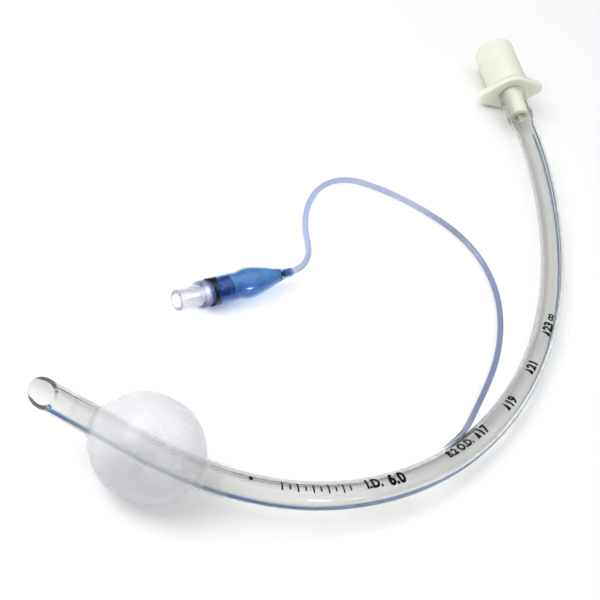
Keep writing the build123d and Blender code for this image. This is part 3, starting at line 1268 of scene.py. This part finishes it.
@dataclass
class PilotLine:
    """Thin soft tube from the shaft's notch to the balloon, lying in a loose curve on the table."""

    valve: ValveAxis
    diameter: float = 2.0 * MM
    length: float = 225.6 * MM
    lead: float = 46.7 * MM
    end: float = 40.5 * MM
    taper: tuple[float, ...] = (0.12, 0.75, 1.0)
    route: list[Point] = field(
        default_factory=lambda: [
            (35.575 * MM, -78.021 * MM, 6.3 * MM),
            (41.675 * MM, -72.021 * MM, 5.8 * MM),
            (46.275 * MM, -65.021 * MM, 4.0 * MM),
            (50.675 * MM, -56.221 * MM, 2.0 * MM),
            (55.675 * MM, -45.821 * MM, 1.0 * MM),
            (60.275 * MM, -34.621 * MM, 1.0 * MM),
            (63.475 * MM, -22.921 * MM, 1.0 * MM),
            (65.075 * MM, -10.421 * MM, 1.0 * MM),
            (64.275 * MM, 2.079 * MM, 1.0 * MM),
            (59.875 * MM, 14.179 * MM, 1.0 * MM),
            (51.275 * MM, 23.779 * MM, 1.0 * MM),
            (37.675 * MM, 30.179 * MM, 1.0 * MM),
            (23.075 * MM, 33.779 * MM, 1.0 * MM),
            (9.675 * MM, 33.979 * MM, 1.0 * MM),
            (-0.325 * MM, 27.179 * MM, 1.0 * MM),
            (-6.125 * MM, 15.579 * MM, 1.0 * MM),
            (-7.325 * MM, 3.179 * MM, 1.0 * MM),
            (-6.125 * MM, -7.421 * MM, 2.2 * MM),
            (-7.725 * MM, -14.421 * MM, 4.2 * MM),
        ]
    )

    def build(self) -> bpy.types.Object:
        """Make the line as one smooth curve.

        Returns:
            The curve.
        """
        points = self.route + [self.valve.point(self.lead), self.valve.point(self.end)]
        curve = bpy.data.curves.new("pilot_tubing", "CURVE")
        curve.dimensions = "3D"
        curve.bevel_depth = self.diameter / 2
        curve.bevel_resolution = 6
        curve.use_fill_caps = True
        spline = curve.splines.new("NURBS")
        spline.points.add(len(points) - 1)
        spline.points.foreach_set("co", np.array([(*point, 1.0) for point in points]).reshape(-1))
        widths = np.interp(np.arange(len(points)), np.arange(len(self.taper)), self.taper)
        spline.points.foreach_set("radius", widths)
        spline.order_u = 3
        spline.use_endpoint_u = True
        spline.resolution_u = 14
        line = bpy.data.objects.new("pilot_tubing", curve)
        bpy.context.scene.collection.objects.link(line)
        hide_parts("pilot_line")
        return line

    def dress(self, line: bpy.types.Object, far_pieces: list[bpy.types.Object]) -> None:
        """Args:
            line: The curve.
            far_pieces: What hangs on its far end; not used.
        """
        line.data.materials.append(PILOT_TUBING.material())
        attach(line, SET_BODY)


@dataclass
class PilotBalloon:
    """Blue balloon: a bell over the valve, a belly, and a long neck round the line."""

    valve: ValveAxis
    bell_start: float = 11.6 * MM
    bell_inner: float = 3.92 * MM
    cavity: float = 19.6 * MM
    wall: float = 0.45 * MM
    line_radius: float = 1.01 * MM
    neck_start: float = 40.4 * MM
    neck_end: float = 43.4 * MM
    bell_lip: float = 4.3 * MM
    neck_lip: float = 1.35 * MM
    fold: float = 15.0 * MM
    fold_end: float = 18.5 * MM
    skin: tuple[Pair, ...] = (
        (4.4 * MM, 20.0 * MM),
        (4.3 * MM, 21.6 * MM),
        (4.85 * MM, 26.5 * MM),
        (3.95 * MM, 32.0 * MM),
        (2.25 * MM, 38.0 * MM),
        (1.45 * MM, 42.4 * MM),
    )

    def smooth(self, points: np.ndarray, count: int = 48) -> np.ndarray:
        """Smooth line through a few points.

        Each span is a cubic with the slope at a point taken from its two neighbours, weighted by
        the spans beside it.

        Args:
            points: Array of radius and height pairs, in order of height.
            count: Number of points in the smooth line.

        Returns:
            Array of radius and height pairs.
        """
        height, radius = points[:, 1], points[:, 0]
        slope = np.gradient(radius, height)
        slope[0] = slope[-1] = 0.0
        place = np.linspace(height[0], height[-1], count)
        index = np.clip(np.searchsorted(height, place) - 1, 0, len(height) - 2)
        span = height[index + 1] - height[index]
        t = (place - height[index]) / span
        shape = (2 * t**3 - 3 * t**2 + 1) * radius[index] + (t**3 - 2 * t**2 + t) * span * slope[index]
        shape += (3 * t**2 - 2 * t**3) * radius[index + 1] + (t**3 - t**2) * span * slope[index + 1]
        return np.stack([shape, place], axis=1)

    def build(self) -> bpy.types.Object:
        """Make the balloon as one closed film.

        Returns:
            The balloon.
        """
        skin = np.array(self.skin)
        belly = skin[1:-1] - [self.wall, 0]
        inner_skin = [[(self.bell_inner, self.cavity)], belly, [(self.line_radius, self.neck_start)]]
        bell_radius, neck_radius = skin[0, 0], skin[-1, 0]
        bell = [
            (self.bell_inner, self.bell_start + 0.1 * MM),
            (self.bell_inner + 0.15 * MM, self.bell_start),
            (self.bell_lip, self.bell_start),
            (bell_radius, self.bell_start + 0.1 * MM),
            (bell_radius, self.bell_start + 0.6 * MM),
            (bell_radius, self.fold),
            (bell_radius, self.fold_end),
        ]
        neck = [
            (neck_radius, self.neck_end - 0.15 * MM),
            (self.neck_lip, self.neck_end),
            (self.line_radius, self.neck_end),
            (self.line_radius, self.neck_end - 0.2 * MM),
        ]
        inner = self.smooth(np.concatenate(inner_skin))[::-1]
        inside = [(self.bell_inner, self.cavity - 0.3 * MM), (self.bell_inner, self.fold)]
        outline = np.concatenate([bell, self.smooth(skin), neck, inner, inside])
        balloon = surface("balloon_film", self.valve.axis().turned(outline), loop_rows=True)
        outwards(balloon)
        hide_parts("pilot_balloon")
        return balloon

    def dress(self, balloon: bpy.types.Object) -> None:
        """Tint the balloon."""
        balloon.data.materials.append(BALLOON_FILM.material())
        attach(balloon, SET_BODY)


@dataclass
class InflationValve:
    """Clear port with its ring, the shell behind it, and the sprung plunger inside."""

    valve: ValveAxis
    port_radius: float = 3.3 * MM
    ring_radius: float = 4.3 * MM
    ring_start: float = 8.2 * MM
    ring_end: float = 10.2 * MM
    mouth_radius: float = 2.15 * MM
    seat_place: float = 7.6 * MM
    seat_face: float = 8.6 * MM
    seat_radius: float = 1.3 * MM
    chamber_radius: float = 2.6 * MM
    spigot_end: float = 12.0 * MM
    shell_radius: float = 3.88 * MM
    shell_end: float = 19.0 * MM
    end_wall: float = 1.5 * MM
    guide_radius: float = 0.7 * MM

    def build(self) -> dict[str, bpy.types.Object]:
        """Make the port and its shell.

        Returns:
            The pieces by name.
        """
        fine, middle = 0.12 * MM, 0.3 * MM
        port = rounded(
            [
                (self.mouth_radius, 0.0, middle),
                (self.port_radius, 0.0, middle),
                (self.port_radius, self.ring_start - 0.4 * MM, middle),
                (self.ring_radius, self.ring_start, middle),
                (self.ring_radius, self.ring_end, middle),
                (self.port_radius - 0.02 * MM, self.ring_end, fine),
                (self.port_radius - 0.02 * MM, self.spigot_end, fine),
                (self.chamber_radius, self.spigot_end, fine),
                (self.chamber_radius, self.seat_face, fine),
                (self.seat_radius, self.seat_face, fine),
                (self.seat_radius, self.seat_place, fine),
                (1.97 * MM, self.seat_place, fine),
                (self.mouth_radius, 1.5 * MM, middle),
            ]
        )
        shell = rounded(
            [
                (self.port_radius, self.ring_end + 0.02 * MM, fine),
                (self.shell_radius, self.ring_end + 0.02 * MM, fine),
                (self.shell_radius, self.shell_end, middle),
                (self.guide_radius, self.shell_end, fine),
                (self.guide_radius, self.shell_end - self.end_wall, fine),
                (self.chamber_radius, self.shell_end - self.end_wall, fine),
                (self.chamber_radius, self.spigot_end + 0.02 * MM, fine),
                (self.port_radius, self.spigot_end + 0.02 * MM, fine),
            ]
        )
        axis = self.valve.axis()
        pieces = {
            "port": surface("valve_clear_port", axis.turned(port, 80), loop_rows=True),
            "shell": surface("valve_blue_shell", axis.turned(shell, 80), loop_rows=True),
        }
        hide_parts("valve_port")
        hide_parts("valve_body")
        for piece in pieces.values():
            outwards(piece)
        return pieces

    def dress(self, pieces: dict[str, bpy.types.Object]) -> None:
        """Finish the port and the shell, and the plunger, seal and spring inside them."""
        pieces["port"].data.materials.append(VALVE_CLEAR.material())
        pieces["shell"].data.materials.append(VALVE_SHELL.material())
        for piece in pieces.values():
            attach(piece, SET_BODY)
        inner = {"valve_seal": SEAL_RUBBER, "valve_plunger": PLUNGER_WHITE, "valve_spring": SPRING_WIRE}
        for name, finish in inner.items():
            node = bpy.data.objects[name]
            material = finish.material()
            for slot in node.material_slots:
                slot.material = material
            pieces[name] = node


# Floor, lamps and camera


@dataclass
class Studio:
    """White table, soft lamps above it and the camera at the photograph's angle."""

    floor_half: float = 2.5
    floor_drop: float = 0.00005
    lamps: tuple[tuple[str, Point, float, float], ...] = (
        ("key_softbox", (-0.62, -0.14, 0.68), 0.52, 5.9),
        ("top_softbox", (0.10, 0.25, 1.25), 1.7, 8.0),
        ("glint_softbox", (0.72, -0.66, 0.26), 0.10, 1.2),
    )
    camera_place: Point = (-145.925 * MM, -344.321 * MM, 321.3 * MM)
    camera_right: Point = (0.9194, 0.0, 0.3933)
    camera_up: Point = (-0.2636, 0.7421, 0.6162)
    camera_back: Point = (-0.2919, -0.6703, 0.6823)
    focal_pixels: float = 1488.0
    frame_pixels: float = 600.0
    sensor: float = 36.0

    def floor(self) -> None:
        """Make the white table top."""
        half = self.floor_half
        share = np.linspace(-half, half, 3)
        x, y = np.meshgrid(share, share, indexing="ij")
        points = np.stack([x, y, np.zeros_like(x) - self.floor_drop], axis=-1)
        table = surface("table_top", points, loop_columns=False)
        nodes = Nodes("table_white")
        paper = nodes.principled(Roughness=0.9, Specular_IOR_Level=0.1)
        grey = nodes.tint(nodes.noise(30.0, 2.0), (0.93, 0.93, 0.93), (0.94, 0.94, 0.94))
        nodes.join(grey, paper.inputs["Base Color"])
        nodes.finish(paper)
        table.data.materials.append(nodes.material)

    def lamp(self, name: str, place: Point, size: float, power: float) -> None:
        """Hang a square soft lamp that faces the origin.

        Args:
            name: Name of the lamp.
            place: Where it hangs, in metres.
            size: Side of the square.
            power: Power in watts.
        """
        light = bpy.data.lights.new(name, "AREA")
        light.shape = "SQUARE"
        light.size = size
        light.energy = power
        lamp = bpy.data.objects.new(name, light)
        back = unit(np.array(place))
        right = unit(np.cross([0.0, 1.0, 0.0], back))
        matrix = np.eye(4)
        matrix[:3, 0], matrix[:3, 1], matrix[:3, 2] = right, np.cross(back, right), back
        matrix[:3, 3] = place
        lamp.matrix_world = Matrix(matrix.tolist())
        bpy.context.scene.collection.objects.link(lamp)

    def camera(self) -> None:
        """Set the camera where the photograph was taken from."""
        data = bpy.data.cameras.new("camera")
        data.sensor_width = self.sensor
        data.lens = self.focal_pixels * self.sensor / self.frame_pixels
        data.clip_start = 0.01
        data.clip_end = 20.0
        camera = bpy.data.objects.new("camera", data)
        matrix = np.eye(4)
        matrix[:3, 0], matrix[:3, 1], matrix[:3, 2] = self.camera_right, self.camera_up, self.camera_back
        matrix[:3, 3] = self.camera_place
        camera.matrix_world = Matrix(matrix.tolist())
        bpy.context.scene.collection.objects.link(camera)
        bpy.context.scene.camera = camera

    def air(self) -> None:
        """Fill the room with light that grows from the skirting to the ceiling."""
        world = bpy.data.worlds.new("studio_air")
        world.use_nodes = True
        tree = world.node_tree
        sky = tree.nodes["Background"]
        sky.inputs["Color"].default_value = (0.97, 0.985, 1.0, 1.0)
        way = tree.nodes.new("ShaderNodeTexCoord")
        parts = tree.nodes.new("ShaderNodeSeparateXYZ")
        rise = tree.nodes.new("ShaderNodeMapRange")
        rise.inputs["From Max"].default_value = 0.7
        rise.inputs["To Min"].default_value = 0.04
        rise.inputs["To Max"].default_value = 0.42
        tree.links.new(way.outputs["Generated"], parts.inputs[0])
        tree.links.new(parts.outputs["Z"], rise.inputs["Value"])
        tree.links.new(rise.outputs["Result"], sky.inputs["Strength"])
        bpy.context.scene.world = world

    def build(self) -> None:
        """Set up the floor, the lamps, the sky and the camera."""
        self.floor()
        for lamp in self.lamps:
            self.lamp(*lamp)
        self.air()
        bpy.context.scene.view_settings.view_transform = "Standard"
        self.camera()


def main() -> None:
    """Build the studio and every piece, in order, and log each one."""
    logging.basicConfig(level=logging.INFO, format="%(name)s: %(message)s")
    Studio().build()
    log.info("studio")
    line = ShaftLine()
    valve_axis = ValveAxis()
    pilot_line = PilotLine(valve_axis)
    tubing = pilot_line.build()
    log.info("pilot tubing")
    shaft = Shaft(line)
    shaft_pieces = shaft.build()
    shaft.dress(shaft_pieces)
    log.info("shaft, %d faces", len(shaft_pieces["wall"].data.polygons))
    marks = Print(line)
    ink = marks.build()
    marks.dress(ink)
    log.info("print, %d marks", len(ink))
    cuff = Cuff(line)
    cuff.dress(cuff.build())
    log.info("cuff")
    connector = Connector(line)
    connector.dress(connector.build())
    log.info("connector")
    balloon = PilotBalloon(valve_axis)
    film = balloon.build()
    balloon.dress(film)
    log.info("pilot balloon")
    valve = InflationValve(valve_axis)
    valve_pieces = valve.build()
    valve.dress(valve_pieces)
    log.info("inflation valve")
    pilot_line.dress(tubing, [film, *valve_pieces.values()])
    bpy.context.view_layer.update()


if __name__ == "__main__":
    main()
